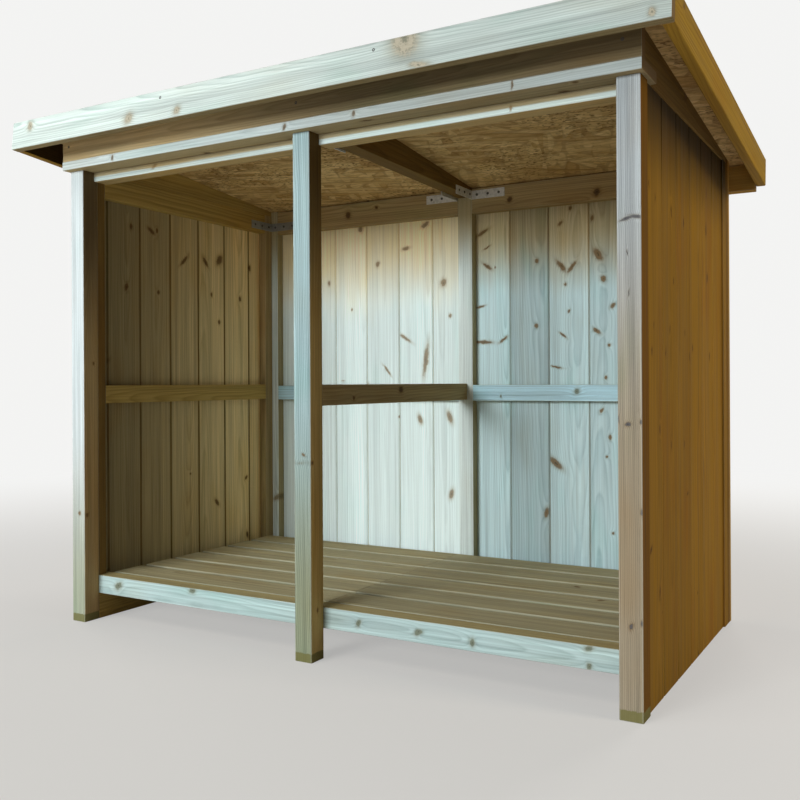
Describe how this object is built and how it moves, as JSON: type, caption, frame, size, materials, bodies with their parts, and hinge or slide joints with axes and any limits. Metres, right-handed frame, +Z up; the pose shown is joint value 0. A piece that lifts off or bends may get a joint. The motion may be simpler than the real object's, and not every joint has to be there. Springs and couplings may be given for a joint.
{
  "type": "log store",
  "caption": "Open-fronted timber log store with two bays, boarded sides and back, a raised floor and a low pent roof falling to the back.",
  "frame": {"origin": "on the ground under the middle of the roof", "axes": "+Z up, +X to the right seen from the open front, +Y from the open front to the back"},
  "size_m": [1.654, 0.9829, 1.2762],
  "materials": {
    "planed_timber": "planed",
    "frame_timber": "planed",
    "floor_timber": "sawn",
    "wall_boards": "planed",
    "strand_board": "rough",
    "roofing_felt": "mineral",
    "galvanised_steel": "galvanised"
  },
  "bodies": {
    "root": {"angle_bracket_front": "galvanised_steel", "angle_brackets_centre": "galvanised_steel", "angle_brackets_corner": "galvanised_steel", "back_wall_boards_left": "wall_boards", "back_wall_boards_right": "wall_boards", "back_wall_bottom_rails": "frame_timber", "back_wall_centre_stud": "frame_timber", "back_wall_mid_rails": "frame_timber", "back_wall_stile_left": "frame_timber", "back_wall_stile_right": "frame_timber", "back_wall_top_rail_left": "frame_timber", "back_wall_top_rail_right": "frame_timber", "centre_firring": "planed_timber", "divider_mid_rail": "planed_timber", "floor_bearers": "floor_timber", "floor_front_rail_left": "floor_timber", "floor_front_rail_right": "floor_timber", "floor_slats_left": "floor_timber", "floor_slats_right": "floor_timber", "front_head_rails": "planed_timber", "front_header_board": "planed_timber", "front_post_centre": "planed_timber", "front_post_left": "planed_timber", "front_post_right": "planed_timber", "front_top_plate": "planed_timber", "left_firring": "planed_timber", "left_wall_boards": "wall_boards", "left_wall_bottom_rail": "frame_timber", "left_wall_front_stud": "frame_timber", "left_wall_mid_rail": "frame_timber", "left_wall_rear_post": "frame_timber", "left_wall_top_rail": "frame_timber", "right_firring": "planed_timber", "right_wall_boards": "wall_boards", "right_wall_bottom_rail": "frame_timber", "right_wall_front_stud": "frame_timber", "right_wall_mid_rail": "frame_timber", "right_wall_rear_post": "frame_timber", "right_wall_top_rail": "frame_timber", "roof_back_board": "planed_timber", "roof_bargeboard_left": "planed_timber", "roof_bargeboard_right": "planed_timber", "roof_deck": "strand_board", "roof_fascia_front": "planed_timber", "roof_felt": "roofing_felt"}
  },
  "joints": []
}
